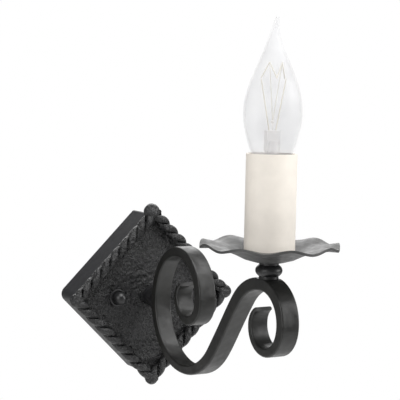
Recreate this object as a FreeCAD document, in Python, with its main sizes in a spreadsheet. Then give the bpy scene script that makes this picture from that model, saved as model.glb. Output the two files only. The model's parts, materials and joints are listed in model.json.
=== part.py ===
import FreeCAD, Part
import math
import os
import re
import Sketcher

# Wrought iron torch sconce: a diamond wall box with a cast face and a rope border, a scrolled
# arm of flat hollow bar, a wavy drip tray and a candle sleeve over a small screw lampholder.
# Origin: centre of the box's back rim, on the wall. +Z is up, +X to the right as seen by
# someone who faces the wall, and the arm reaches out along -Y. Millimetres.

driving = {
    # wall box and what lies on its front
    "box_side": 80.0,
    "box_depth": 24.0,
    "box_wall": 1.2,
    "box_corner": 5.5,
    "box_top_corner": 2.0,
    "box_bend": 1.8,
    "face_side": 83.0,
    "face_thickness": 4.0,
    "face_corner": 3.0,
    "rope_side": 80.0,
    "rope_radius": 4.3,
    "rope_lift": 2.6,
    "rope_loop_radius": 4.9,
    "rope_top_loop_radius": 5.7,
    "rope_top_loop_rise": 1.0,
    "rope_top_loop_aside": 2.0,
    # strap on the wall, its studs and the ball nuts that hold the box to it
    "strap_length": 86.0,
    "strap_width": 16.0,
    "strap_thickness": 1.6,
    "strap_corner": 4.0,
    "wall_screw_spacing": 68.0,
    "wall_screw_hole": 2.3,
    "cable_hole": 5.0,
    "stud_spacing": 52.0,
    "stud_radius": 2.0,
    "stud_hole": 2.4,
    "washer_foot_radius": 4.6,
    "washer_rim_radius": 5.8,
    "washer_gauge": 0.8,
    "washer_height": 1.8,
    "nut_ball_radius": 4.3,
    "nut_neck_radius": 3.0,
    "nut_ball_lift": 4.4,
    "nut_hole_depth": 5.0,
    # hollow threaded nipples, with the sleeve and nuts of the arm's joint at the wall
    "nipple_radius": 5.0,
    "nipple_bore": 3.5,
    "nipple_tail": 6.5,
    "thread_clearance": 0.05,
    "arm_washer_radius": 6.8,
    "arm_washer_thickness": 1.5,
    "arm_sleeve_radius": 6.2,
    "arm_nut_flats": 13.5,
    "arm_nut_thickness": 5.0,
    "inner_washer_radius": 9.0,
    "inner_washer_thickness": 1.2,
    "inner_nut_thickness": 3.0,
    # arm: a flat hollow bar bent into an S with a curl at each end; the S's bends are shares of
    # its reach beyond the wall joint
    "bar_width": 12.0,
    "bar_edge": 1.0,
    "arm_standoff": 42.6,
    "candle_reach": 176.0,
    "crest_height": 28.2,
    "low_bend_share": 0.3,
    "rising_bend_share": 0.36,
    "crest_bend_share": 0.27,
    "joint_thickness": 6.4,
    "low_thickness": 5.6,
    "rise_thickness": 8.6,
    "crest_thickness": 7.5,
    "back_bend": 38.0,
    "back_sweep": 48.0,
    "back_thickness": 5.4,
    "top_bend": 28.0,
    "top_sweep": 42.0,
    "top_thickness": 6.4,
    "shoulder_sweep": 93.0,
    "shoulder_thickness": 7.8,
    "curl_bend": 14.3,
    "curl_sweep": 175.0,
    "curl_thickness": 3.8,
    "curl_end_bend": 8.6,
    "curl_end_sweep": 72.0,
    "front_bend": 21.5,
    "front_sweep": 105.0,
    "front_thickness": 6.8,
    "under_bend": 17.0,
    "under_sweep": 96.0,
    "under_thickness": 4.8,
    "lip_bend": 14.0,
    "lip_sweep": 78.0,
    "lip_thickness": 3.8,
    "lip_end_bend": 10.8,
    "lip_end_sweep": 52.0,
    "tip_thickness": 2.4,
    "channel_height": 3.0,
    "channel_side_wall": 1.4,
    "seat_depth": 0.6,
    # ball collar and drip tray
    "collar_radius": 8.0,
    "collar_neck_radius": 5.8,
    "collar_height": 9.8,
    "tray_radius": 41.0,
    "tray_floor_radius": 9.0,
    "tray_thickness": 1.5,
    "tray_slope": 0.28,
    "tray_bulge": 1.7,
    "tray_waves": 9,
    "tray_wave_height": 1.25,
    "tray_turn": 228.5,
    # lampholder inside the candle sleeve
    "holder_nut_flats": 15.0,
    "holder_nut_thickness": 3.0,
    "holder_radius": 12.0,
    "holder_wall": 2.2,
    "cup_below_sleeve": 45.0,
    "holder_cup_floor": 5.0,
    "barrel_height": 31.0,
    "contact_block_thickness": 4.0,
    "terminal_side": 3.6,
    "terminal_spacing": 9.0,
    "terminal_height": 4.0,
    "contact_width": 4.0,
    "contact_gauge": 0.5,
    "contact_rise": 1.6,
    "shell_radius": 7.7,
    "shell_gauge": 0.45,
    "shell_ridge": 0.5,
    "shell_height": 24.0,
    "shell_flange": 9.2,
    "thread_pitch": 2.82,
    # candle sleeve
    "sleeve_radius": 15.0,
    "sleeve_wall": 1.2,
    "sleeve_length": 60.0,
    "sleeve_seat_gap": 0.3,
    "fitting_gap": 0.1,
    # bulb, measured up from the tip of its centre contact
    "bulb_contact_gap": 0.3,
    "contact_tip_radius": 2.4,
    "contact_tip_height": 1.2,
    "cap_glass_height": 2.4,
    "cap_glass_radius": 5.2,
    "cap_radius": 6.6,
    "cap_ridge": 0.3,
    "cap_gauge": 0.35,
    "cap_height": 17.6,
    "neck_radius": 6.2,
    "neck_foot": 17.0,
    "neck_height": 21.5,
    "shoulder_height": 38.8,
    "shoulder_radius": 12.4,
    "belly_height": 61.0,
    "belly_radius": 17.5,
    "flame_height": 83.3,
    "flame_radius": 12.9,
    "throat_drop": 7.6,
    "throat_radius": 5.4,
    "beak_height": 107.5,
    "beak_radius": 3.0,
    "tip_rise": 10.4,
    "tip_radius": 1.3,
    "glass_wall": 0.7,
    "stem_height": 34.5,
    "stem_foot_radius": 5.4,
    "stem_neck_radius": 3.6,
    "stem_press_height": 12.0,
    "stem_press_width": 9.2,
    "stem_press_thickness": 3.4,
    "stem_wire_spread": 4.6,
    "wire_radius": 0.35,
    "wire_top_below_beak": 26.5,
    "wire_top_spread": 17.0,
    "filament_radius": 0.35,
    "filament_rise": 9.0,
    "filament_bow": 6.5,
    "support_radius": 0.18,
    "bead_radius": 1.1,
    "bead_height": 5.0,
    # wiring inside the box and the arm
    "block_width": 20.0,
    "block_height": 12.0,
    "block_depth": 13.0,
    "block_lift": 15.0,
    "clamp_screw_radius": 1.6,
    "clamp_screw_spacing": 10.0,
    "lead_radius": 0.9,
    "lead_spacing": 2.2,
    "lead_bend": 2.0,
    "lead_gap": 12.0,
    "earth_screw_radius": 3.2,
    "earth_screw_drop": 24.0,
    "earth_screw_head": 2.2,
    "earth_lead_gap": 15.0,
    "earth_lead_side": 8.8,
}

doc = FreeCAD.newDocument("torch_sconce")
sheet = doc.addObject("Spreadsheet::Sheet", "sizes")
for row, (name, size) in enumerate(driving.items(), start=1):
    sheet.set(f"A{row}", name)
    sheet.set(f"B{row}", str(size))
    sheet.setAlias(f"B{row}", name)
doc.recompute()

# Places that follow from the driving sizes, written as formulas of the sheet's names. "Out" is
# the distance from the wall along -Y, and up is +Z.
face_front = "(box_depth + face_thickness)"
rope_plane = f"({face_front} + rope_lift)"
arm_span = "(candle_reach - arm_standoff)"
low_bend = f"(low_bend_share * {arm_span})"
rising_bend = f"(rising_bend_share * {arm_span})"
crest_bend = f"(crest_bend_share * {arm_span})"
arm_back = "(arm_standoff - joint_thickness / 2 + seat_depth)"
arm_nut_back = f"({arm_back} - arm_nut_thickness)"
box_ceiling = "(box_depth - box_wall)"
inner_nut_front = f"({box_ceiling} - inner_washer_thickness)"
nipple_back = f"({inner_nut_front} - nipple_tail)"
channel_back = "(arm_standoff - channel_height / 2)"
crest_seat = "(crest_height + crest_thickness / 2 - seat_depth)"
channel_top = "(crest_height + channel_height / 2)"
tray_base = f"({crest_seat} + collar_height)"
tray_top = f"({tray_base} + tray_thickness)"
holder_cup_height = "(sleeve_length - cup_below_sleeve)"
holder_floor = f"({tray_top} + holder_nut_thickness)"
holder_cup_top = f"({holder_floor} + {holder_cup_height})"
block_top = f"({holder_cup_top} + contact_block_thickness)"
contact_top = f"({block_top} + contact_rise)"
bulb_foot = f"({contact_top} + bulb_contact_gap)"
sleeve_foot = f"({tray_top} + (sleeve_radius - tray_floor_radius) * tray_slope + sleeve_seat_gap)"
terminal_foot = f"({holder_cup_top} - terminal_height)"


def formula(text):
    # puts the sheet's name in front of each of its words
    known = lambda word: f"sizes.{word[0]}" if word[0] in driving else word[0]
    return re.sub(r"[a-z_]+", known, text)


def value(text):
    return float(sheet.evalExpression(formula(text)))


def bind(item, **sizes):
    for name, text in sizes.items():
        item.setExpression(name, formula(text))
    return item


def solid_of(kind, name, **sizes):
    return bind(doc.addObject(f"Part::{kind}", name), **sizes)


def shift(item, across="0", out="0", up="0"):
    for axis, text in (("x", across), ("y", f"-({out})"), ("z", up)):
        item.setExpression(f"Placement.Base.{axis}", formula(text))
    return item


pieces = []


def keep(item, label, across="0", out="0", up="0", facing_out=False):
    # names a finished piece and puts it in its place, its own +Z turned away from the wall
    # where it faces out
    item.Label = label
    if facing_out:
        item.Placement = FreeCAD.Placement(FreeCAD.Vector(), FreeCAD.Rotation(FreeCAD.Vector(1, 0, 0), 90))
    shift(item, across, out, up)
    pieces.append(item)
    return item


def keep_shape(shape, label, out="0", up="0"):
    # a piece whose form is worked out by Part's own functions
    item = doc.addObject("Part::Feature", label)
    item.Shape = shape
    keep(item, label, out=out, up=up)


def plane_of(body, role):
    return [plane for plane in body.Origin.OriginFeatures if plane.Role == role][0]


def new_sketch(body, name, role):
    sketch = body.newObject("Sketcher::SketchObject", name)
    sketch.AttachmentSupport = [(plane_of(body, role), "")]
    sketch.MapMode = "FlatFace"
    return sketch


def pin(sketch, edge, end, across, up):
    # ties one end of an edge to its place, given as two formulas
    for kind, text, axis in (("DistanceX", across, -2), ("DistanceY", up, -1)):
        if text == "0":
            sketch.addConstraint(Sketcher.Constraint("PointOnObject", edge, end, axis))
            continue
        number = sketch.addConstraint(Sketcher.Constraint(kind, -1, 1, edge, end, value(text)))
        sketch.setExpression(f"Constraints[{number}]", formula(text))


def draw_outline(sketch, corners):
    # closed outline of straight sides through the corners
    spots = [FreeCAD.Vector(value(across), value(up), 0) for across, up in corners]
    for here, there in zip(spots, spots[1:] + spots[:1]):
        sketch.addGeometry(Part.LineSegment(here, there), False)
    for edge in range(len(corners)):
        following = (edge + 1) % len(corners)
        sketch.addConstraint(Sketcher.Constraint("Coincident", edge, 2, following, 1))
        pin(sketch, edge, 1, *corners[edge])


def draw_holes(sketch, holes):
    # circles, each given by its centre and radius
    for number, (across, up, radius) in enumerate(holes):
        centre = FreeCAD.Vector(value(across), value(up), 0)
        sketch.addGeometry(Part.Circle(centre, FreeCAD.Vector(0, 0, 1), value(radius)), False)
        pin(sketch, number, 3, across, up)
        size = sketch.addConstraint(Sketcher.Constraint("Radius", number, value(radius)))
        sketch.setExpression(f"Constraints[{size}]", formula(radius))


def padded(name, corners, thickness):
    body = doc.addObject("PartDesign::Body", name)
    sketch = new_sketch(body, f"{name}_outline", "XY_Plane")
    draw_outline(sketch, corners)
    pad = body.newObject("PartDesign::Pad", f"{name}_pad")
    pad.Profile = sketch
    bind(pad, Length=thickness)
    doc.recompute()
    return body


def pierced(body, name, holes, depth):
    # holes cut from the body's back plane upwards
    before = body.Shape.Volume
    sketch = new_sketch(body, f"{name}_holes", "XY_Plane")
    draw_holes(sketch, holes)
    cut_upwards(body, sketch, f"{name}_pocket", depth)
    assert body.Shape.Volume < before, f"{name}: the holes removed nothing"


def cut_upwards(body, sketch, name, depth):
    pocket = body.newObject("PartDesign::Pocket", name)
    pocket.Profile = sketch
    pocket.Reversed = True
    bind(pocket, Length=depth)
    doc.recompute()


def rounded(body, name, radius, chosen):
    # rounds the edges that the test picks
    base = body.Tip
    names = [f"Edge{n}" for n, edge in enumerate(base.Shape.Edges, start=1) if chosen(edge)]
    fillet = body.newObject("PartDesign::Fillet", name)
    fillet.Base = (base, names)
    bind(fillet, Radius=radius)
    doc.recompute()


def hollowed(body, name, wall, chosen):
    # leaves a wall inside every face but those that the test picks, which are left open
    base, before = body.Tip, body.Shape.Volume
    names = [f"Face{n}" for n, face in enumerate(base.Shape.Faces, start=1) if chosen(face)]
    skin = body.newObject("PartDesign::Thickness", name)
    skin.Base = (base, names)
    skin.Reversed = True
    bind(skin, Value=wall)
    doc.recompute()
    assert body.Shape.Volume < before, f"{name} removed nothing"


def is_upright(edge):
    box = edge.BoundBox
    return box.ZLength > 0.1 and box.XLength < 0.001 and box.YLength < 0.001


def turned(name, corners):
    # a body of revolution about its own Z axis; corners are (radius, height)
    body = doc.addObject("PartDesign::Body", name)
    sketch = new_sketch(body, f"{name}_profile", "XZ_Plane")
    draw_outline(sketch, corners)
    turn = body.newObject("PartDesign::Revolution", f"{name}_turn")
    turn.Profile = sketch
    turn.ReferenceAxis = (sketch, ["V_Axis"])
    turn.Angle = 360
    doc.recompute()
    return body


def ring(name, inner, outer, height):
    return turned(name, [(inner, "0"), (outer, "0"), (outer, height), (inner, height)])


def hex_nut(name, flats, thickness):
    block = solid_of("Prism", f"{name}_block", Circumradius=f"{flats} / sqrt(3)", Height=thickness)
    block.Polygon = 6
    bore = solid_of("Cylinder", f"{name}_bore", Radius="nipple_radius + thread_clearance", Height=thickness)
    nut = doc.addObject("Part::Cut", name)
    nut.Base = block
    nut.Tool = bore
    return nut


def diamond(side):
    half = f"{side} / sqrt(2)"
    return [(half, "0"), ("0", half), (f"-{half}", "0"), ("0", f"-{half}")]


# ---- wall box, cast face and rope border ----

def make_wall_box():
    body = padded("wall_box", diamond("box_side"), "box_depth")
    top = lambda edge: is_upright(edge) and edge.BoundBox.YMax > 1
    rounded(body, "wall_box_top_corner", "box_top_corner", top)
    others = lambda edge: is_upright(edge) and edge.BoundBox.YMax < 1
    rounded(body, "wall_box_corners", "box_corner", others)
    front = value("box_depth")
    rounded(body, "wall_box_front", "box_bend", lambda edge: edge.BoundBox.ZMin > front - 0.01)
    hollowed(body, "wall_box_hollow", "box_wall", lambda face: face.BoundBox.ZMax < 0.01)
    pierced(body, "wall_box", front_holes(), "box_depth")
    keep(body, "wall_box", facing_out=True)


def front_holes():
    half = "stud_spacing / 2"
    return [
        ("0", "0", "nipple_radius + thread_clearance"),
        (half, "0", "stud_hole"),
        (f"-{half}", "0", "stud_hole"),
    ]


def make_cast_face():
    body = padded("cast_face", diamond("face_side"), "face_thickness")
    rounded(body, "cast_face_corners", "face_corner", is_upright)
    pierced(body, "cast_face", front_holes(), "face_thickness")
    keep(body, "cast_face", out="box_depth", facing_out=True)


def make_rope_border():
    # four lengths of round rope with a fuller loop at each corner, flat where they meet the face
    half = "rope_side / sqrt(2)"
    corners = [(half, "0"), ("0", half), (f"-{half}", "0"), ("0", f"-{half}")]
    parts = []
    for number, (across, up) in enumerate(corners):
        is_top = up == half
        size = "rope_top_loop_radius" if is_top else "rope_loop_radius"
        loop = solid_of("Sphere", f"rope_loop_{number}", Radius=size)
        shift(loop, across, f"-({up})")
        if is_top:
            shift(loop, "-rope_top_loop_aside", f"-({up} + rope_top_loop_rise)")
        length = solid_of("Cylinder", f"rope_length_{number}", Radius="rope_radius", Height="rope_side")
        heading = math.radians(135 + 90 * number)
        along = FreeCAD.Vector(math.cos(heading), math.sin(heading), 0)
        length.Placement.Rotation = FreeCAD.Rotation(FreeCAD.Vector(0, 0, 1), along)
        shift(length, across, f"-({up})")
        parts += [loop, length]
    rope = doc.addObject("Part::MultiFuse", "rope_round")
    rope.Shapes = parts
    behind = solid_of(
        "Box", "rope_behind",
        Length="2 * rope_side", Width="2 * rope_side", Height="rope_side",
    )
    shift(behind, "-rope_side", "rope_side", "-rope_lift - rope_side")
    border = doc.addObject("Part::Cut", "rope_border")
    border.Base = rope
    border.Tool = behind
    keep(border, "rope_border", out=rope_plane, facing_out=True)


# ---- strap, studs, cup washers and ball nuts ----

def make_mounting_strap():
    half_length = "strap_length / 2"
    half_width = "strap_width / 2"
    corners = [
        (half_length, half_width),
        (f"-{half_length}", half_width),
        (f"-{half_length}", f"-{half_width}"),
        (half_length, f"-{half_width}"),
    ]
    body = padded("mounting_strap", corners, "strap_thickness")
    rounded(body, "mounting_strap_corners", "strap_corner", is_upright)
    screw = "wall_screw_spacing / 2"
    stud = "stud_spacing / 2"
    holes = [
        ("0", "0", "cable_hole"),
        (screw, "0", "wall_screw_hole"),
        (f"-{screw}", "0", "wall_screw_hole"),
        (stud, "0", "stud_radius + thread_clearance"),
        (f"-{stud}", "0", "stud_radius + thread_clearance"),
    ]
    pierced(body, "mounting_strap", holes, "strap_thickness")
    keep(body, "mounting_strap", facing_out=True)


def make_strap_fixing(side, sign):
    # one stud with its cup washer and ball nut
    across = f"{sign}stud_spacing / 2"
    stud_end = f"{face_front} + washer_gauge + nut_hole_depth - 2 * fitting_gap"
    stud = solid_of("Cylinder", f"strap_stud_{side}", Radius="stud_radius", Height=stud_end)
    keep(stud, f"strap_stud_{side}", across=across, facing_out=True)

    bore = "stud_radius + thread_clearance"
    cup = turned(
        f"cup_washer_{side}",
        [
            (bore, "0"),
            ("washer_foot_radius", "0"),
            ("washer_rim_radius", "washer_height - washer_gauge / 2"),
            ("washer_rim_radius - washer_gauge", "washer_height"),
            ("washer_foot_radius - washer_gauge / 2", "washer_gauge"),
            (bore, "washer_gauge"),
        ],
    )
    keep(cup, f"cup_washer_{side}", across=across, out=face_front, facing_out=True)

    ball = solid_of("Sphere", f"nut_ball_{side}", Radius="nut_ball_radius")
    ball.setExpression("Placement.Base.z", formula("nut_ball_lift"))
    neck = solid_of("Cylinder", f"nut_neck_{side}", Radius="nut_neck_radius", Height="nut_ball_lift")
    head = doc.addObject("Part::Fuse", f"nut_head_{side}")
    head.Base = ball
    head.Tool = neck
    tap = solid_of("Cylinder", f"nut_tap_{side}", Radius=bore, Height="nut_hole_depth")
    nut = doc.addObject("Part::Cut", f"ball_nut_{side}")
    nut.Base = head
    nut.Tool = tap
    keep(nut, f"ball_nut_{side}", across=across, out=f"{face_front} + washer_gauge", facing_out=True)


# ---- the arm's joint at the wall ----

def make_wall_joint():
    bore = "nipple_radius + thread_clearance"
    nipple = ring("arm_nipple", "nipple_bore", "nipple_radius", f"{channel_back} - {nipple_back}")
    keep(nipple, "arm_nipple", out=nipple_back, facing_out=True)
    washer = ring("arm_washer", bore, "arm_washer_radius", "arm_washer_thickness")
    keep(washer, "arm_washer", out=face_front, facing_out=True)
    sleeve_start = f"({face_front} + arm_washer_thickness)"
    sleeve = ring("arm_sleeve", bore, "arm_sleeve_radius", f"{arm_nut_back} - {sleeve_start}")
    keep(sleeve, "arm_sleeve", out=sleeve_start, facing_out=True)
    nut = hex_nut("arm_nut", "arm_nut_flats", "arm_nut_thickness")
    keep(nut, "arm_nut", out=arm_nut_back, facing_out=True)
    inner_washer = ring("inner_washer", bore, "inner_washer_radius", "inner_washer_thickness")
    keep(inner_washer, "inner_washer", out=inner_nut_front, facing_out=True)
    inner_nut = hex_nut("inner_nut", "arm_nut_flats", "inner_nut_thickness")
    keep(inner_nut, "inner_nut", out=f"{inner_nut_front} - inner_nut_thickness", facing_out=True)


# ---- scrolled arm ----
# The bar's middle line lies in the plane X = 0 and is a chain of tangent arcs, each bent to
# one radius, with one straight run in the S. A place on it is (out, up, heading, thickness),
# heading in radians from the outward direction, and its thickness changes evenly along each bend.

def bend(start, radius, sweep, end_thickness, steps=6):
    # places along one arc; a positive sweep turns upwards when heading out
    out, up, heading, thickness = start
    side = math.copysign(1, sweep)
    centre_out = out - radius * side * math.sin(heading)
    centre_up = up + radius * side * math.cos(heading)
    places = []
    for step in range(1, steps + 1):
        turned_to = heading + math.radians(sweep) * step / steps
        place_out = centre_out + radius * side * math.sin(turned_to)
        place_up = centre_up - radius * side * math.cos(turned_to)
        grown = thickness + (end_thickness - thickness) * step / steps
        places.append((place_out, place_up, turned_to, grown))
    return places


def straight(start, length, end_thickness):
    out, up, heading, thickness = start
    end = (out + length * math.cos(heading), up + length * math.sin(heading), heading, end_thickness)
    middle = tuple((a + b) / 2 for a, b in zip(start, end))
    return [middle, end]


def rise():
    # the S's straight run touches the arc that climbs from the lowest point and the crest's arc
    rising, crest = value(rising_bend), value(crest_bend)
    climb_out = value(f"{arm_span} - {low_bend}")
    climb_up = value(f"crest_height - {crest_bend} + {low_bend} - {rising_bend}")
    apart = math.hypot(climb_out, climb_up)
    angle = math.atan2(climb_up, climb_out) - math.acos((rising + crest) / apart) + math.pi / 2
    return math.degrees(angle), math.sqrt(apart**2 - (rising + crest) ** 2)


def wired_run():
    # from the wall joint down, round and up to the crest under the candle
    angle, length = rise()
    line = [(value("arm_standoff"), 0.0, -math.pi / 2, value("joint_thickness"))]
    line += bend(line[-1], value(low_bend), 90, value("low_thickness"))
    line += bend(line[-1], value(rising_bend), angle, value("rise_thickness"))
    line += straight(line[-1], length, value("rise_thickness"))
    line += bend(line[-1], value(crest_bend), -angle, value("crest_thickness"))
    return line


def wall_curl():
    line = [(value("arm_standoff"), 0.0, math.pi / 2, value("joint_thickness"))]
    line += bend(line[-1], value("back_bend"), -value("back_sweep"), value("back_thickness"))
    line += bend(line[-1], value("top_bend"), -value("top_sweep"), value("top_thickness"))
    line += bend(line[-1], value("top_bend"), -value("shoulder_sweep"), value("shoulder_thickness"), 8)
    line += bend(line[-1], value("curl_bend"), -value("curl_sweep"), value("curl_thickness"), 14)
    line += bend(line[-1], value("curl_end_bend"), -value("curl_end_sweep"), value("tip_thickness"))
    return line


def front_curl():
    line = wired_run()[-1:]
    line += bend(line[-1], value("front_bend"), -value("front_sweep"), value("front_thickness"), 8)
    line += bend(line[-1], value("under_bend"), -value("under_sweep"), value("under_thickness"), 8)
    line += bend(line[-1], value("lip_bend"), -value("lip_sweep"), value("lip_thickness"))
    line += bend(line[-1], value("lip_end_bend"), -value("lip_end_sweep"), value("tip_thickness"))
    return line


def bar_line():
    # the whole bar from the tip of the wall curl to the tip of the front curl
    back = [(out, up, heading + math.pi, thick) for out, up, heading, thick in reversed(wall_curl()[1:])]
    return back + wired_run() + front_curl()[1:]


def channel_line():
    # the wires' channel runs past each nipple by the nipple's own radius
    reach = value("nipple_radius")
    line = wired_run()
    above = (*line[0][:2], math.pi / 2, 0.0)
    start = bend(above, value("back_bend"), -math.degrees(reach / value("back_bend")), 0.0, 2)
    end = bend(line[-1], value("front_bend"), -math.degrees(reach / value("front_bend")), 0.0, 2)
    back = [(out, up, heading + math.pi, thick) for out, up, heading, thick in reversed(start)]
    return back + line + end


def side_of(line, side, half=None):
    # points off the line by half the bar's thickness, or by a steady distance
    spots = []
    for out, up, heading, thickness in line:
        reach = side * (thickness / 2 if half is None else half)
        spots.append(FreeCAD.Vector(0, -(out - reach * math.sin(heading)), up + reach * math.cos(heading)))
    return spots


def curve_through(spots):
    curve = Part.BSplineCurve()
    curve.interpolate(spots)
    return curve.toShape()


def ribbon(line, width, half=None):
    # a flat face between the two sides of the line, given its width across X
    upper, lower = side_of(line, 1, half), side_of(line, -1, half)
    edges = [
        curve_through(upper),
        Part.LineSegment(upper[-1], lower[-1]).toShape(),
        curve_through(lower),
        Part.LineSegment(lower[0], upper[0]).toShape(),
    ]
    face = Part.Face(Part.Wire(Part.__sortEdges__(edges)))
    block = face.extrude(FreeCAD.Vector(width, 0, 0))
    block.translate(FreeCAD.Vector(-width / 2, 0, 0))
    return turned_outwards(block)


def turned_outwards(solid):
    if solid.Volume < 0:
        solid.reverse()
    return solid


def post(radius, length, across, out, up, direction):
    return Part.makeCylinder(radius, length, FreeCAD.Vector(across, -out, up), FreeCAD.Vector(*direction))


def make_scroll_arm():
    width = value("bar_width")
    bar = ribbon(bar_line(), width)
    long_edges = [edge for edge in bar.Edges if edge.Length > 3 * width]
    arm = bar.makeFillet(value("bar_edge"), long_edges).Solids[0]
    nipple, tall = value("nipple_radius + thread_clearance"), value("collar_height")
    reach, overrun = value("candle_reach"), value("seat_depth")
    outwards, upwards = (0, -1, 0), (0, 0, 1)
    cuts = [
        post(value("arm_nut_flats"), value(arm_back), 0, 0, 0, outwards),
        post(nipple, value(channel_back) + overrun, 0, 0, 0, outwards),
        post(value("collar_radius"), tall, 0, reach, value(crest_seat), upwards),
        post(nipple, tall, 0, reach, value(channel_top) - overrun, upwards),
        ribbon(channel_line(), width - 2 * value("channel_side_wall"), value("channel_height / 2")),
    ]
    before = arm.Volume
    for tool in cuts:
        arm = arm.cut(tool)
    assert len(arm.Solids) == 1 and 0 < arm.Volume < before, "the arm's cuts went wrong"
    keep_shape(arm.removeSplitter(), "scroll_arm")


# ---- ball collar, candle nipple and drip tray ----

def make_ball_collar():
    ball = solid_of("Ellipsoid", "collar_ball", Radius1="collar_height / 2", Radius2="collar_radius")
    bind(ball, Radius3="collar_radius")
    ball.Angle1 = -90
    ball.setExpression("Placement.Base.z", formula("collar_height / 2"))
    neck = solid_of("Cylinder", "collar_neck", Radius="collar_neck_radius", Height="collar_height")
    whole = doc.addObject("Part::Fuse", "collar_whole")
    whole.Base = ball
    whole.Tool = neck
    bore = solid_of(
        "Cylinder", "collar_bore",
        Radius="nipple_radius + thread_clearance", Height="collar_height",
    )
    collar = doc.addObject("Part::Cut", "ball_collar")
    collar.Base = whole
    collar.Tool = bore
    keep(collar, "ball_collar", out="candle_reach", up=crest_seat)


def make_candle_nipple():
    length = f"{holder_floor} + holder_cup_floor - {channel_top}"
    nipple = ring("candle_nipple", "nipple_bore", "nipple_radius", length)
    keep(nipple, "candle_nipple", out="candle_reach", up=channel_top)


def tray_ring(radius, lift):
    # one closed line round the tray, which bulges between the sleeve and the wavy rim
    waves, turn = value("tray_waves"), math.radians(value("tray_turn"))
    still, rim = value("sleeve_radius"), value("tray_radius")
    share = max(0.0, (radius - still) / (rim - still))
    climb = max(0.0, radius - value("tray_floor_radius")) * value("tray_slope")
    base = value(tray_base) + lift + climb + 4 * value("tray_bulge") * share * (1 - share)
    count = int(waves) * 8
    spots = []
    for step in range(count):
        angle = 2 * math.pi * step / count
        up = base + value("tray_wave_height") * share**2.5 * math.cos(waves * angle + turn)
        spots.append(
            FreeCAD.Vector(radius * math.cos(angle), radius * math.sin(angle) - value("candle_reach"), up)
        )
    line = Part.BSplineCurve()
    line.interpolate(spots, PeriodicFlag=True)
    return line.toShape()


def make_drip_tray():
    # a shallow cone from the floor to a wavy rim, with a hole for the nipple
    hole, floor = value("nipple_radius + thread_clearance"), value("tray_floor_radius")
    still, rim = value("sleeve_radius"), value("tray_radius")
    radii = [hole, floor, still] + [still + (rim - still) * share for share in (0.2, 0.4, 0.6, 0.8, 1.0)]
    under = [tray_ring(radius, 0) for radius in radii]
    over = [tray_ring(radius, value("tray_thickness")) for radius in reversed(radii)]
    loop = under + over
    faces = [Part.makeRuledSurface(a, b) for a, b in zip(loop, loop[1:] + loop[:1])]
    shell = Part.Shell(faces)
    keep_shape(turned_outwards(Part.Solid(shell)), "drip_tray")


# ---- lampholder ----

def make_lampholder():
    nut = hex_nut("holder_nut", "holder_nut_flats", "holder_nut_thickness")
    keep(nut, "holder_nut", out="candle_reach", up=tray_top)

    bore, inner = "nipple_radius + thread_clearance", "holder_radius - holder_wall"
    cup = turned(
        "holder_cup",
        [
            (bore, "0"),
            ("holder_radius", "0"),
            ("holder_radius", holder_cup_height),
            (inner, holder_cup_height),
            (inner, "holder_cup_floor"),
            (bore, "holder_cup_floor"),
        ],
    )
    keep(cup, "holder_cup", out="candle_reach", up=holder_floor)

    throat = "shell_radius + shell_gauge + fitting_gap"
    barrel = turned(
        "holder_barrel",
        [
            (inner, "0"),
            ("holder_radius", "0"),
            ("holder_radius", "barrel_height"),
            (throat, "barrel_height"),
            (throat, "contact_block_thickness + shell_gauge + fitting_gap"),
            (inner, "contact_block_thickness + shell_gauge + fitting_gap"),
        ],
    )
    keep(barrel, "holder_barrel", out="candle_reach", up=holder_cup_top)

    block = turned(
        "contact_block",
        [("0", "0"), ("holder_radius - holder_wall - fitting_gap", "0"),
         ("holder_radius - holder_wall - fitting_gap", "contact_block_thickness"),
         ("0", "contact_block_thickness")],
    )
    keep(block, "contact_block", out="candle_reach", up=holder_cup_top)


def make_holder_metal():
    # screw shell with rolled ridges, open at both ends and flanged on the contact block
    inner, outer = "shell_radius", "shell_radius + shell_gauge"
    corners = [(inner, "0"), ("shell_flange", "0"), ("shell_flange", "shell_gauge"), (outer, "shell_gauge")]
    corners += [(outer, "shell_height"), (inner, "shell_height")]
    ridges = int(value("(shell_height - 4) / thread_pitch"))
    for number in reversed(range(ridges)):
        base = f"(2 + {number} * thread_pitch)"
        corners.append((inner, f"{base} + 0.7 * thread_pitch"))
        corners.append((f"{inner} - shell_ridge", f"{base} + 0.5 * thread_pitch"))
        corners.append((inner, f"{base} + 0.3 * thread_pitch"))
    shell = turned("screw_shell", corners)
    keep(shell, "screw_shell", out="candle_reach", up=block_top)

    # sprung centre contact: a strip with its middle raised to the bulb
    rise_run = "contact_width / 2"
    corners = [
        ("-contact_width", "0"),
        (f"-{rise_run}", "0"),
        ("-contact_width / 4", "contact_rise - contact_gauge"),
        ("contact_width / 4", "contact_rise - contact_gauge"),
        (rise_run, "0"),
        ("contact_width", "0"),
        ("contact_width", "contact_gauge"),
        (f"{rise_run} + contact_gauge / 2", "contact_gauge"),
        ("contact_width / 4 + contact_gauge / 2", "contact_rise"),
        ("-contact_width / 4 - contact_gauge / 2", "contact_rise"),
        (f"-{rise_run} - contact_gauge / 2", "contact_gauge"),
        ("-contact_width", "contact_gauge"),
    ]
    body = doc.addObject("PartDesign::Body", "centre_contact")
    sketch = new_sketch(body, "centre_contact_outline", "XZ_Plane")
    draw_outline(sketch, corners)
    pad = body.newObject("PartDesign::Pad", "centre_contact_pad")
    pad.Profile = sketch
    pad.Midplane = True
    bind(pad, Length="contact_width")
    doc.recompute()
    keep(body, "centre_contact", out="candle_reach", up=block_top)

    for side, sign in (("left", "-"), ("right", "")):
        clamp = solid_of(
            "Box", f"holder_terminal_{side}",
            Length="terminal_side", Width="terminal_side", Height="terminal_height",
        )
        clamp.Label = f"holder_terminal_{side}"
        across = f"{sign}terminal_spacing / 2 - terminal_side / 2"
        keep(
            clamp, clamp.Label,
            across=across, out="candle_reach + lead_bend + terminal_side / 2", up=terminal_foot,
        )


# ---- candle sleeve ----

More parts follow.
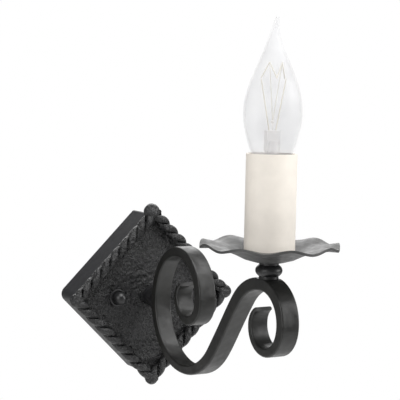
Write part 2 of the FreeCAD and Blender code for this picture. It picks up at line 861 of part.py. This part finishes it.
def make_candle_sleeve():
    sleeve = ring("candle_sleeve", "sleeve_radius - sleeve_wall", "sleeve_radius", "sleeve_length")
    keep(sleeve, "candle_sleeve", out="candle_reach", up=sleeve_foot)


# ---- bulb ----

def make_bulb_cap():
    tip = turned(
        "bulb_contact",
        [("0", "0"), ("contact_tip_radius / 2", "0"), ("contact_tip_radius", "contact_tip_height / 2"),
         ("contact_tip_radius", "contact_tip_height"), ("0", "contact_tip_height")],
    )
    keep(tip, "bulb_contact", out="candle_reach", up=bulb_foot)

    glass = turned(
        "cap_insulator",
        [("0", "0"), ("contact_tip_radius", "0"), ("cap_glass_radius", "cap_glass_height"),
         ("0", "cap_glass_height")],
    )
    keep(glass, "cap_insulator", out="candle_reach", up=f"{bulb_foot} + contact_tip_height")

    inner = "cap_radius - cap_gauge"
    foot = "cap_gauge"
    corners = [("cap_glass_radius - cap_gauge", "0"), (inner, "0"), ("cap_radius", foot)]
    ridges = int(value("(cap_height - 7) / thread_pitch"))
    for number in range(ridges):
        base = f"(1.5 + {number} * thread_pitch)"
        corners.append(("cap_radius", f"{base} + 0.3 * thread_pitch"))
        corners.append(("cap_radius + cap_ridge", f"{base} + 0.5 * thread_pitch"))
        corners.append(("cap_radius", f"{base} + 0.7 * thread_pitch"))
    corners += [("cap_radius", "cap_height"), (inner, "cap_height"), (inner, foot)]
    corners += [("cap_glass_radius - cap_gauge", foot)]
    cap = turned("bulb_cap", corners)
    keep(cap, "bulb_cap", out="candle_reach", up=f"{bulb_foot} + contact_tip_height + cap_glass_height")


def flame_side(inset):
    # the flame's outline from neck to tip, drawn in by the wall on the inside
    stations = [
        ("neck_radius", "neck_foot"),
        ("neck_radius", "neck_height"),
        ("shoulder_radius", "shoulder_height"),
        ("belly_radius", "belly_height"),
        ("flame_radius", "flame_height"),
        ("throat_radius", "beak_height - throat_drop"),
        ("beak_radius", "beak_height"),
        ("tip_radius", "beak_height + tip_rise"),
    ]
    spots = [
        FreeCAD.Vector(max(value(radius) - inset, value("tip_radius") / 4), 0, value(height))
        for radius, height in stations
    ]
    if inset:
        spots[-1].z -= 2 * inset
    return spots


def make_bulb_glass():
    outer, inner = flame_side(0), flame_side(value("glass_wall"))
    peak = FreeCAD.Vector(0, 0, outer[-1].z)
    hollow_peak = FreeCAD.Vector(0, 0, inner[-1].z)
    edges = [
        curve_through(outer),
        Part.LineSegment(outer[-1], peak).toShape(),
        Part.LineSegment(peak, hollow_peak).toShape(),
        Part.LineSegment(hollow_peak, inner[-1]).toShape(),
        curve_through(inner),
        Part.LineSegment(inner[0], outer[0]).toShape(),
    ]
    face = Part.Face(Part.Wire(Part.__sortEdges__(edges)))
    glass = face.revolve(FreeCAD.Vector(), FreeCAD.Vector(0, 0, 1), 360)
    keep_shape(glass, "bulb_glass", out="candle_reach", up=bulb_foot)


def rod_along(spots, radius):
    # a round wire along straight runs, with a ball at each turn
    shapes = []
    for here, there in zip(spots, spots[1:]):
        run = there - here
        shapes.append(Part.makeCylinder(radius, run.Length, here, run))
    shapes += [Part.makeSphere(radius, spot) for spot in spots[1:-1]]
    whole = shapes[0]
    for shape in shapes[1:]:
        whole = whole.fuse(shape)
    return whole.removeSplitter()


def bulb_spot(across, out, up):
    return FreeCAD.Vector(across, -value("candle_reach") - out, value(bulb_foot) + up)


def make_bulb_inside():
    stem_top = value("neck_foot + stem_height")
    flare = solid_of(
        "Cone", "stem_flare",
        Radius1="stem_foot_radius", Radius2="stem_neck_radius", Height="stem_height - stem_press_height / 2",
    )
    press = solid_of(
        "Box", "stem_press",
        Length="stem_press_width", Width="stem_press_thickness", Height="stem_press_height",
    )
    shift(press, "-stem_press_width / 2", "stem_press_thickness / 2", "stem_height - stem_press_height")
    stem = doc.addObject("Part::Fuse", "bulb_stem")
    stem.Base = flare
    stem.Tool = press
    keep(stem, "bulb_stem", out="candle_reach", up=f"{bulb_foot} + neck_foot")

    bead_up = stem_top + value("bead_height")
    post_rod = rod_along([bulb_spot(0, 0, stem_top), bulb_spot(0, 0, bead_up)], value("support_radius") * 2)
    bead = Part.makeSphere(value("bead_radius"), bulb_spot(0, 0, bead_up))
    keep_shape(post_rod.fuse(bead).removeSplitter(), "bulb_bead")

    low, high = value("stem_wire_spread") / 2, value("wire_top_spread") / 2
    top = value("beak_height - wire_top_below_beak")
    for side, sign in (("left", -1), ("right", 1)):
        spots = [bulb_spot(sign * low, 0, stem_top), bulb_spot(sign * high, 0, top)]
        keep_shape(rod_along(spots, value("wire_radius")), f"bulb_wire_{side}")

    bow, crown = value("filament_bow"), top + value("filament_rise")
    reach, fine = value("filament_radius"), value("support_radius")
    corners = [(-1, 0, 0), (-0.62, 0.55, 1), (-0.2, 0.95, 0), (0.2, 0.95, 1), (0.62, 0.55, 0), (1, 0, 0)]
    hang = [
        bulb_spot(side * high, forward * bow, top + reach + value("wire_radius") + (crown - top) * lifted)
        for side, forward, lifted in corners
    ]
    keep_shape(rod_along(hang, reach), "filament")

    held = [hang[1], hang[3]]
    stalks = []
    middle = bulb_spot(0, 0, bead_up)
    for spot in held:
        along = (spot - middle).normalize()
        start = middle + along * (value("bead_radius") + fine * 0.6)
        stalks.append(rod_along([start, spot - along * (reach + fine) * 4], fine))
    keep_shape(Part.makeCompound(stalks), "filament_supports")


# ---- terminal block and wiring ----

def make_terminal_block():
    block = solid_of(
        "Box", "terminal_block",
        Length="block_width", Width="block_depth", Height="block_height",
    )
    keep(block, "terminal_block", across="-block_width / 2", out=box_ceiling, up="block_lift")

    screws = []
    depth = value(f"{box_ceiling} - block_depth")
    for sign in (-1, 1):
        for row in (1, 3):
            across = sign * value("clamp_screw_spacing") / 2
            up = value("block_lift") + value("block_height") * row / 4
            radius = value("clamp_screw_radius")
            screws.append(post(radius, radius, across, depth - radius, up, (0, -1, 0)))
    keep_shape(Part.makeCompound(screws), "terminal_screws")


def rounded_path(spots, radius):
    # straight runs between the spots, joined by tangent arcs of one radius
    edges = []
    start = spots[0]
    for before, corner, after in zip(spots, spots[1:], spots[2:]):
        coming, going = (corner - before).normalize(), (after - corner).normalize()
        half = math.acos(max(-1.0, min(1.0, coming.dot(going)))) / 2
        set_back = radius * math.tan(half)
        entry, leave = corner - coming * set_back, corner + going * set_back
        inward = (going - coming).normalize()
        middle = corner + inward * (radius / math.cos(half) - radius)
        if (entry - start).Length > 0.001:
            edges.append(Part.LineSegment(start, entry).toShape())
        edges.append(Part.Arc(entry, middle, leave).toShape())
        start = leave
    if (spots[-1] - start).Length > 0.001:
        edges.append(Part.LineSegment(start, spots[-1]).toShape())
    return edges


def centre_arcs(across):
    # the middle line from the wall joint to the crest, moved sideways, as true arcs
    angle, length = rise()
    line = wired_run()
    low, rising, flat = line[6], line[12], line[14]
    spot = lambda place: FreeCAD.Vector(across, -place[0], place[1])
    return [
        Part.Arc(spot(line[0]), spot(line[3]), spot(low)).toShape(),
        Part.Arc(spot(low), spot(line[9]), spot(rising)).toShape(),
        Part.LineSegment(spot(rising), spot(flat)).toShape(),
        Part.Arc(spot(flat), spot(line[17]), spot(line[20])).toShape(),
    ]


def pipe_along(edges, radius):
    path = Part.Wire(edges)
    first = edges[0]
    start = path.OrderedVertexes[0].Point
    heading = first.tangentAt(first.FirstParameter)
    section = Part.Wire(Part.Circle(start, heading, radius).toShape())
    return turned_outwards(path.makePipeShell([section], True, False))


def make_lead(label, sign):
    # one insulated lead: terminal block, wall nipple, arm, candle nipple, lampholder clamp
    across, clamp = sign * value("lead_spacing / 2"), sign * value("terminal_spacing / 2")
    block, turn = sign * value("clamp_screw_spacing / 2"), value("lead_bend")
    back, standoff, reach = value("lead_gap"), value("arm_standoff"), value("candle_reach")
    crest, top = value("crest_height"), value(terminal_foot)
    spot = lambda x, out, up: FreeCAD.Vector(x, -out, up)
    entry = rounded_path(
        [
            spot(block, back, value("block_lift")),
            spot(block, back, 5 * turn),
            spot(across, back, 2.5 * turn),
            spot(across, back, turn),
            spot(across, standoff, turn),
            spot(across, standoff, 0),
        ],
        turn,
    )
    exit_run = rounded_path(
        [
            spot(across, reach, crest),
            spot(across, reach + turn, crest),
            spot(across, reach + turn, top - 2.75 * turn),
            spot(clamp, reach + turn, top - turn),
            spot(clamp, reach + turn, top),
        ],
        turn,
    )
    keep_shape(pipe_along(entry + centre_arcs(across) + exit_run, value("lead_radius")), label)


def make_earth():
    drop, side, turn = -value("earth_screw_drop"), value("earth_lead_side"), value("lead_bend")
    head_middle = value(f"{box_ceiling} - earth_screw_head / 2")
    spot = lambda x, out, up: FreeCAD.Vector(x, -out, up)
    run = rounded_path(
        [
            spot(side, value("earth_lead_gap"), value("block_lift")),
            spot(side, value("earth_lead_gap"), drop / 2),
            spot(side, head_middle, drop / 2 - 2 * turn),
            spot(side, head_middle, drop),
            spot(value("earth_screw_radius"), head_middle, drop),
        ],
        turn,
    )
    keep_shape(pipe_along(run, value("lead_radius")), "earth_lead")
    head_out = f"{box_ceiling} - earth_screw_head"
    screw = solid_of("Cylinder", "earth_screw", Radius="earth_screw_radius", Height="earth_screw_head")
    keep(screw, "earth_screw", out=head_out, up="-earth_screw_drop", facing_out=True)


def make_all():
    make_wall_box()
    make_cast_face()
    make_rope_border()
    make_mounting_strap()
    make_strap_fixing("left", "-")
    make_strap_fixing("right", "")
    make_wall_joint()
    make_scroll_arm()
    make_ball_collar()
    make_candle_nipple()
    make_drip_tray()
    make_lampholder()
    make_holder_metal()
    make_candle_sleeve()
    make_bulb_cap()
    make_bulb_glass()
    make_bulb_inside()
    make_terminal_block()
    make_lead("live_lead", -1)
    make_lead("neutral_lead", 1)
    make_earth()


def check_and_write():
    doc.recompute()
    for item in doc.Objects:
        bad = [state for state in item.State if state in ("Invalid", "Error")]
        assert not bad, f"{item.Label}: {bad}"
    os.makedirs("parts", exist_ok=True)
    for piece in pieces:
        shape = piece.Shape
        assert not shape.isNull() and shape.isValid(), f"{piece.Label} has no sound shape"
        shape.exportStep(f"parts/{piece.Label}.step")
        print(f"{piece.Label:24s} solids {len(shape.Solids)}  volume {shape.Volume:9.1f} mm3")


make_all()
check_and_write()
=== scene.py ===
import bpy
import json
import math
from mathutils import Matrix, Vector


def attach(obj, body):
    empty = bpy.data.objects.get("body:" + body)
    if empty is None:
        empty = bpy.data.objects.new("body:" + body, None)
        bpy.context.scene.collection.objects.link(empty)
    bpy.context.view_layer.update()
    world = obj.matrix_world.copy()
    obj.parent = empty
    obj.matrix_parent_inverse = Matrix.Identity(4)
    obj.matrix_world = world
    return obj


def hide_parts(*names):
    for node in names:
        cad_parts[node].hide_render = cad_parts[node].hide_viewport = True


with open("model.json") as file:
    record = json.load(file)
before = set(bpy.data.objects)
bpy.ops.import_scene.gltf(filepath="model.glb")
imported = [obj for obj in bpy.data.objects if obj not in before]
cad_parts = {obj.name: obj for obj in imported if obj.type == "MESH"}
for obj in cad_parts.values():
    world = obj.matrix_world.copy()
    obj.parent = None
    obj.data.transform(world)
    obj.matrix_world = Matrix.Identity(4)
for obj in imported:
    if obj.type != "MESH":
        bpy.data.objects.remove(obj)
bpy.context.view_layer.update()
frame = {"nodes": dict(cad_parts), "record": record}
scene = bpy.context.scene
mm = 0.001
print("frame loaded")


def linear(hexText):
    parts = [int(hexText[i:i + 2], 16) / 255 for i in (0, 2, 4)]
    return [p / 12.92 if p <= 0.04045 else ((p + 0.055) / 1.055) ** 2.4 for p in parts] + [1.0]


# one small function adds a node with its settings, links and colour stops
def addNode(tree, kind, settings=None, inputs=None, stops=()):
    node = tree.nodes.new(kind)
    for name, value in (settings or {}).items():
        setattr(node, name, value)
    for name, value in (inputs or {}).items():
        if isinstance(value, bpy.types.NodeSocket):
            tree.links.new(value, node.inputs[name])
        else:
            node.inputs[name].default_value = value
    for number, (position, colour) in enumerate(stops):
        node.color_ramp.elements[number].position = position
        node.color_ramp.elements[number].color = colour
    return node


# a new material, its tree, its shader and the piece's own coordinates in metres
def newMaterial(name):
    material = bpy.data.materials.new(name)
    material.use_nodes = True
    tree = material.node_tree
    shader = next(n for n in tree.nodes if n.type == "BSDF_PRINCIPLED")
    place = addNode(tree, "ShaderNodeTexCoord").outputs["Object"]
    return material, tree, shader, place


def iron(name, dark, light, roughness, hammer=None, grain=None, pits=None):
    # black lacquer over iron: the tone drifts over about 14 mm and the gloss over 3.5 mm;
    # hammer, grain and pits are each (width of one mark, depth) in mm
    material, tree, shader, place = newMaterial(name)
    blotch = addNode(tree, "ShaderNodeTexNoise", inputs={
        "Vector": place, "Scale": 1000 / 14, "Detail": 5, "Roughness": 0.55})
    tone = addNode(tree, "ShaderNodeValToRGB", inputs={"Fac": blotch.outputs["Fac"]},
                   stops=((0.3, linear(dark)), (0.72, linear(light))))
    tree.links.new(tone.outputs["Color"], shader.inputs["Base Color"])
    wear = addNode(tree, "ShaderNodeTexNoise", inputs={
        "Vector": place, "Scale": 1000 / 3.5, "Detail": 3, "Roughness": 0.55})
    gloss = addNode(tree, "ShaderNodeMapRange", inputs={
        "Value": wear.outputs["Fac"], "From Min": 0.3, "From Max": 0.7,
        "To Min": roughness - 0.07, "To Max": roughness + 0.08})
    tree.links.new(gloss.outputs["Result"], shader.inputs["Roughness"])
    layers = []
    if hammer:
        layers.append(("ShaderNodeTexNoise", {}, {
            "Scale": 1000 / hammer[0], "Detail": 1.5, "Roughness": 0.4}, "Fac", hammer[1]))
    if pits:
        layers.append(("ShaderNodeTexVoronoi", {"feature": "SMOOTH_F1"}, {
            "Scale": 1000 / pits[0], "Smoothness": 0.6, "Randomness": 1.0}, "Distance", pits[1]))
        # wider ridges between the pits
        layers.append(("ShaderNodeTexNoise", {}, {
            "Scale": 1000 / (pits[0] * 3.2), "Detail": 6, "Roughness": 0.7}, "Fac", pits[1] * 1.8))
    if grain:
        layers.append(("ShaderNodeTexNoise", {}, {
            "Scale": 1000 / grain[0], "Detail": 3, "Roughness": 0.6}, "Fac", grain[1]))
    under = {}
    for kind, settings, sizes, output, depth in layers:
        marks = addNode(tree, kind, settings, {"Vector": place, **sizes})
        layer = addNode(tree, "ShaderNodeBump", inputs={
            "Height": marks.outputs[output], "Distance": depth * mm, **under})
        under = {"Normal": layer.outputs["Normal"]}
    tree.links.new(under["Normal"], shader.inputs["Normal"])
    return material


def plain(name, colour, roughness, metallic=0.0, speck=2.0, depth=0.02):
    # an even finish with a faint mottle, speck mm wide and depth mm deep
    material, tree, shader, place = newMaterial(name)
    mottle = addNode(tree, "ShaderNodeTexNoise", inputs={
        "Vector": place, "Scale": 1000 / speck, "Detail": 3, "Roughness": 0.55})
    base = Vector(linear(colour)[:3])
    tone = addNode(tree, "ShaderNodeValToRGB", inputs={"Fac": mottle.outputs["Fac"]},
                   stops=((0.25, [*(base * 0.94), 1]), (0.8, [*(base * 1.03), 1])))
    tree.links.new(tone.outputs["Color"], shader.inputs["Base Color"])
    shader.inputs["Roughness"].default_value = roughness
    shader.inputs["Metallic"].default_value = metallic
    relief = addNode(tree, "ShaderNodeBump", inputs={
        "Height": mottle.outputs["Fac"], "Distance": depth * mm})
    tree.links.new(relief.outputs["Normal"], shader.inputs["Normal"])
    return material


def clearGlass(name, colour, cover, roughness):
    # thin clear glass: each wall lets most of the light straight through and keeps a faint grey
    material, tree, shader, place = newMaterial(name)
    haze = addNode(tree, "ShaderNodeTexNoise", inputs={
        "Vector": place, "Scale": 1000 / 20, "Detail": 2, "Roughness": 0.55})
    tone = addNode(tree, "ShaderNodeValToRGB", inputs={"Fac": haze.outputs["Fac"]},
                   stops=((0.3, linear(colour)), (0.7, linear("f4f4f6"))))
    tree.links.new(tone.outputs["Color"], shader.inputs["Base Color"])
    shader.inputs["Roughness"].default_value = roughness
    shader.inputs["IOR"].default_value = 1.46
    shader.inputs["Specular IOR Level"].default_value = 0.25
    shader.inputs["Alpha"].default_value = cover
    return material


# folded sheet iron, sprayed satin black
boxPaint = iron("boxSheetIron", "17171a", "212124", 0.46, hammer=(18, 0.25), grain=(0.8, 0.02))
# rough sand cast iron, painted black
castPaint = iron("sandCastIron", "0c0c0d", "1e1e1f", 0.27,
                 hammer=(16, 3.0), grain=(1.2, 0.75), pits=(2.8, 1.2))
# cast rope, painted black, its tone drifting at random
ropePaint = iron("castRopeIron", "0e0e0f", "262627", 0.28,
                 hammer=(6, 1.6), grain=(1.1, 0.5), pits=(2.6, 1.0))
# forged bar, satin lacquer over soft hammer marks
forgedPaint = iron("forgedBarIron", "161615", "232321", 0.38, hammer=(11, 0.8), grain=(0.5, 0.025))
# pressed sheet tray, dark grey satin
trayPaint = iron("pressedTrayIron", "3a3a3a", "4a4a49", 0.46, hammer=(16, 0.3), grain=(0.6, 0.02))
# turned ball and nuts, satin black
turnedPaint = iron("turnedIron", "171718", "232324", 0.38, grain=(0.6, 0.015))
slots = {
    "box_iron": boxPaint,
    "cast_iron": castPaint,
    "rope_iron": ropePaint,
    "scroll_iron": forgedPaint,
    "tray_iron": trayPaint,
    "collar_iron": turnedPaint,
    "dark_fixings": turnedPaint,
    # zinc plated steel, drawn and turned
    "plated_steel": plain("zincPlatedSteel", "b4b4b0", 0.35, 1.0),
    # cream card sleeve, matt
    "sleeve_cream": plain("creamSleeve", "f0e9df", 0.62, speck=9, depth=0.03),
    # moulded white lampholder plastic
    "holder_plastic": plain("mouldedWhitePlastic", "e8e5dd", 0.4),
    # pressed brass, bright
    "brass_parts": plain("pressedBrass", "c2a05e", 0.28, 1.0),
    # moulded off-white plastic with a soft sheen
    "terminal_plastic": plain("mouldedTerminalPlastic", "e2e0d9", 0.45),
    # extruded lead sleeving, smooth and slightly shiny
    "lead_brown": plain("brownLeadSleeving", "4c3020", 0.45),
    "lead_blue": plain("blueLeadSleeving", "2c5a97", 0.45),
    "lead_green": plain("greenLeadSleeving", "4c8a3a", 0.45),
    # blown glass, thin and clear, and the thicker pressed stem inside it
    "bulb_glass_clear": clearGlass("blownClearGlass", "c6c6c9", 0.17, 0.1),
    "bulb_stem_glass": clearGlass("pressedStemGlass", "fff8f0", 0.5, 0.3),
    # nickel plated brass, then glossy black fused glass, then drawn wire whose pale cream colour is a
    # painted reflection
    "cap_metal": plain("nickelPlatedBrass", "cdc6b6", 0.25, 1.0),
    "cap_glass": plain("blackCapGlass", "17171a", 0.12),
    # the filament's near-white cream base colour is painted reflection in place of the wire's grey metal
    "filament_wire": plain("filamentPaintedPaleReflection", "f4eedd", 0.4, 0.1),
}
for part in frame["record"]["subparts"]:
    for place in frame["nodes"][part["node"]].material_slots:
        place.material = slots[part["material_slot"]]
print("materials made")


def chooseOnly(obj):
    bpy.ops.object.select_all(action="DESELECT")
    obj.select_set(True)
    bpy.context.view_layer.objects.active = obj


def editAll(obj):
    chooseOnly(obj)
    bpy.ops.object.mode_set(mode="EDIT")
    bpy.ops.mesh.select_all(action="SELECT")


def leaveEdit():
    bpy.ops.object.mode_set(mode="OBJECT")


def applyAll(obj):
    chooseOnly(obj)
    for modifier in list(obj.modifiers):
        bpy.ops.object.modifier_apply(modifier=modifier.name)
    bpy.ops.object.transform_apply(location=True, rotation=True, scale=True)


def joinAll(parts, name):
    bpy.ops.object.select_all(action="DESELECT")
    for part in parts:
        part.select_set(True)
    bpy.context.view_layer.objects.active = parts[0]
    bpy.ops.object.join()
    whole = bpy.context.object
    whole.name = name
    return whole


def finishPiece(obj, body, slot, *replaced):
    editAll(obj)
    bpy.ops.mesh.normals_make_consistent(inside=False)
    leaveEdit()
    bpy.ops.object.shade_smooth_by_angle(angle=math.radians(50))
    obj.data.materials.clear()
    obj.data.materials.append(slots[slot])
    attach(obj, body)
    if replaced:
        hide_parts(*replaced)


# rope border: two strands laid round each other along each side, a loop at each corner
rope = {
    "side": 80.0, "plane": -30.6, "back": -28.0, "strand": 2.35, "stretch": 1.9, "lay": 1.85, "pitch": 18.6,
    "loop": 4.7, "topLoop": 5.5, "topAside": -2.0, "topRise": 1.0, "loopForm": (1.0, 0.86, 0.98),
    "coil": 0.62, "coilThick": 0.4, "coilTilts": (0.75, -0.2), "stepsPerTurn": 18,
}


def makeStrand(start, end, phase):
    run = end - start
    turns = run.length / (rope["pitch"] * mm)
    bpy.ops.mesh.primitive_circle_add(vertices=14, radius=rope["strand"] * mm, location=(0, 0, 0),
                                      rotation=(math.radians(90), 0, 0))
    strand = bpy.context.object
    # the strand is wider along the rope than across it
    strand.scale = (1.0, rope["stretch"], 1)
    bpy.ops.object.transform_apply(location=True, rotation=True, scale=True)
    editAll(strand)
    bpy.ops.transform.translate(value=(rope["lay"] * mm, 0, 0))
    bpy.ops.transform.rotate(value=phase, orient_axis="Z", center_override=(0, 0, 0))
    leaveEdit()
    screw = strand.modifiers.new("lay", "SCREW")
    screw.angle = -2 * math.pi * turns
    screw.screw_offset = run.length
    screw.steps = screw.render_steps = int(rope["stepsPerTurn"] * turns)
    applyAll(strand)
    turn = run.to_track_quat("Z", "Y").to_matrix().to_4x4()
    strand.data.transform(Matrix.Translation(start) @ turn)
    return strand


half = rope["side"] / math.sqrt(2)
corners = [Vector((x, rope["plane"], z)) * mm for x, z in ((half, 0), (0, half), (-half, 0), (0, -half))]
strands = []
for number, corner in enumerate(corners):
    following = corners[(number + 1) % 4]
    for phase in (0, math.pi):
        strands.append(makeStrand(corner, following, phase + number))
for number, corner in enumerate(corners):
    isTop = number == 1
    size = rope["topLoop" if isTop else "loop"]
    place = corner + Vector((rope["topAside"], 0, rope["topRise"])) * mm if isTop else corner
    bpy.ops.mesh.primitive_uv_sphere_add(segments=32, ring_count=20, radius=size * mm, location=place)
    loop = bpy.context.object
    loop.scale = rope["loopForm"]
    bpy.ops.object.transform_apply(location=True, rotation=True, scale=True)
    strands.append(loop)
    # two short coils show where the rope turns the corner
    for tilt in rope["coilTilts"]:
        bpy.ops.mesh.primitive_torus_add(
            major_radius=size * rope["coil"] * mm, minor_radius=size * rope["coilThick"] * mm,
            major_segments=36, minor_segments=14,
            location=place, rotation=(math.radians(90) + tilt, tilt, 0))
        coil = bpy.context.object
        bpy.ops.object.transform_apply(location=True, rotation=True, scale=True)
        strands.append(coil)
border = joinAll(strands, "ropeBorder")
editAll(border)
# the border has a flat back that lies on the cast face
bpy.ops.mesh.bisect(plane_co=(0, rope["back"] * mm, 0), plane_no=(0, 1, 0), use_fill=True, clear_outer=True)
leaveEdit()
finishPiece(border, "fixture", "rope_iron", "rope_border")
print("rope laid")

# bulb glass: the outline spun about the candle's axis, its last part drawn over to one side
bulb = {"foot": 66.35, "reach": 176.0, "bend": 1.6, "bendFrom": 104.0, "tip": 117.7}
outline = [
    (5.5, 17.0), (6.2, 17.0), (6.2, 21.5), (7.6, 26.5), (9.9, 32.5), (12.4, 38.8),
    (14.6, 45.5), (16.6, 53.0), (17.45, 60.5), (16.9, 68.5), (15.4, 75.6), (12.9, 83.3),
    (9.1, 92.0), (5.5, 99.7), (3.1, 107.0), (1.9, 113.0), (1.3, 117.2), (0.0, 117.7),
]
inside = [
    (0.0, 115.5), (1.1, 112.5), (2.3, 107.0), (4.7, 99.6), (8.4, 91.6), (12.2, 82.9),
    (14.7, 75.2), (16.2, 68.3), (16.75, 60.5), (15.9, 53.2), (13.95, 45.9), (11.75, 39.2),
    (9.3, 33.0), (6.95, 26.9), (5.5, 21.5),
]


def makeGlass():
    spots = [Vector((r, 0, z)) * mm for r, z in outline + inside]
    bpy.ops.mesh.primitive_plane_add(size=1 * mm, location=(0, 0, 0))
    glass = bpy.context.object
    editAll(glass)
    bpy.ops.mesh.merge(type="CENTER")
    bpy.ops.transform.translate(value=spots[0])
    for here, there in zip(spots, spots[1:]):
        bpy.ops.mesh.extrude_region_move(TRANSFORM_OT_translate={"value": there - here})
    bpy.ops.mesh.select_all(action="SELECT")
    bpy.ops.mesh.spin(steps=64, angle=2 * math.pi, center=(0, 0, 0), axis=(0, 0, 1))
    bpy.ops.mesh.select_all(action="SELECT")
    bpy.ops.mesh.remove_doubles(threshold=0.02 * mm)
    leaveEdit()
    smooth = glass.modifiers.new("round", "SUBSURF")
    smooth.levels = smooth.render_levels = 1
    applyAll(glass)
    for vertex in glass.data.vertices:
        height = vertex.co.z / mm
        share = max(0.0, (height - bulb["bendFrom"]) / (bulb["tip"] - bulb["bendFrom"]))
        vertex.co.x += bulb["bend"] * share ** 1.6 * mm
    glass.data.transform(Matrix.Translation((0, -bulb["reach"] * mm, bulb["foot"] * mm)))
    glass.name = "bulbGlass"
    return glass


glass = makeGlass()
finishPiece(glass, "bulb", "bulb_glass_clear", "bulb_glass")
print("bulb blown")

# camera where the photo was taken
aim = {
    "azimuth": -29.599, "pitch": 4.798, "roll": 1.206, "lens": 121.235, "sensor": 36,
    "place": (-0.422296, -0.836072, 0.142331),
}
bpy.ops.object.camera_add()
camera = bpy.context.object
turnBy, lookDown, rollBy = (math.radians(aim[k]) for k in ("azimuth", "pitch", "roll"))
level = math.cos(lookDown)
back = Vector((math.sin(turnBy) * level, -math.cos(turnBy) * level, math.sin(lookDown)))
right = Vector((math.cos(turnBy), math.sin(turnBy), 0))
up = back.cross(right)
rightRolled = math.cos(rollBy) * right + math.sin(rollBy) * up
upRolled = -math.sin(rollBy) * right + math.cos(rollBy) * up
facing = Matrix((rightRolled, upRolled, back)).transposed().to_4x4()
camera.matrix_world = Matrix.Translation(aim["place"]) @ facing
camera.data.lens = aim["lens"]
camera.data.sensor_width = aim["sensor"]
camera.data.clip_end = 50
scene.camera = camera


def softLight(name, place, target, size, power):
    bpy.ops.object.light_add(type="AREA", location=place)
    lamp = bpy.context.object
    lamp.name = name
    lamp.data.shape = "RECTANGLE"
    lamp.data.size, lamp.data.size_y = size
    lamp.data.energy = power
    lamp.rotation_mode = "QUATERNION"
    lamp.rotation_quaternion = (Vector(target) - Vector(place)).to_track_quat("-Z", "Y")


softLight("overheadBox", (0.1, -0.5, 1.3), (0, -0.1, 0.05), (1.4, 1.0), 21)
softLight("rightBox", (1.2, -1.0, 0.5), (0, -0.1, 0.05), (0.8, 1.2), 15)
softLight("leftBox", (-1.5, -0.7, 0.5), (0, -0.1, 0.05), (0.9, 1.2), 13)
softLight("backBox", (0.5, 0.9, 0.6), (0, -0.15, 0.05), (0.9, 0.9), 6)


# pale floor and backdrop that reads white to the camera
def whiteCard():
    material, tree, shader, place = newMaterial("paleFloorPaint")
    cloud = addNode(tree, "ShaderNodeTexNoise", inputs={
        "Vector": place, "Scale": 1000 / 300, "Detail": 2, "Roughness": 0.55})
    tone = addNode(tree, "ShaderNodeValToRGB", inputs={"Fac": cloud.outputs["Fac"]},
                   stops=((0.3, linear("f4f4f3")), (0.7, linear("fafafa"))))
    tree.links.new(tone.outputs["Color"], shader.inputs["Base Color"])
    shader.inputs["Roughness"].default_value = 0.9
    glow = addNode(tree, "ShaderNodeEmission", inputs={"Color": (1, 1, 1, 1), "Strength": 1.0})
    path = addNode(tree, "ShaderNodeLightPath")
    mix = addNode(tree, "ShaderNodeMixShader", inputs={"Fac": path.outputs["Is Camera Ray"]})
    tree.links.new(shader.outputs[0], mix.inputs[1])
    tree.links.new(glow.outputs[0], mix.inputs[2])
    output = next(n for n in tree.nodes if n.type == "OUTPUT_MATERIAL")
    tree.links.new(mix.outputs[0], output.inputs["Surface"])
    return material


bpy.ops.mesh.primitive_plane_add(size=14, location=(0, 0, -0.6))
floor = bpy.context.object
floor.name = "floor"
floor.data.materials.append(whiteCard())

world = bpy.data.worlds.new("studio")
scene.world = world
world.use_nodes = True
worldTree = world.node_tree
backdrop = next(n for n in worldTree.nodes if n.type == "BACKGROUND")
lightPath = addNode(worldTree, "ShaderNodeLightPath")
shade = addNode(worldTree, "ShaderNodeMapRange", inputs={
    "Value": lightPath.outputs["Is Camera Ray"], "To Min": 0.22, "To Max": 1.0})
backdrop.inputs["Color"].default_value = (1, 1, 1, 1)
worldTree.links.new(shade.outputs["Result"], backdrop.inputs["Strength"])
scene.view_settings.view_transform = "Standard"
print("studio lit")
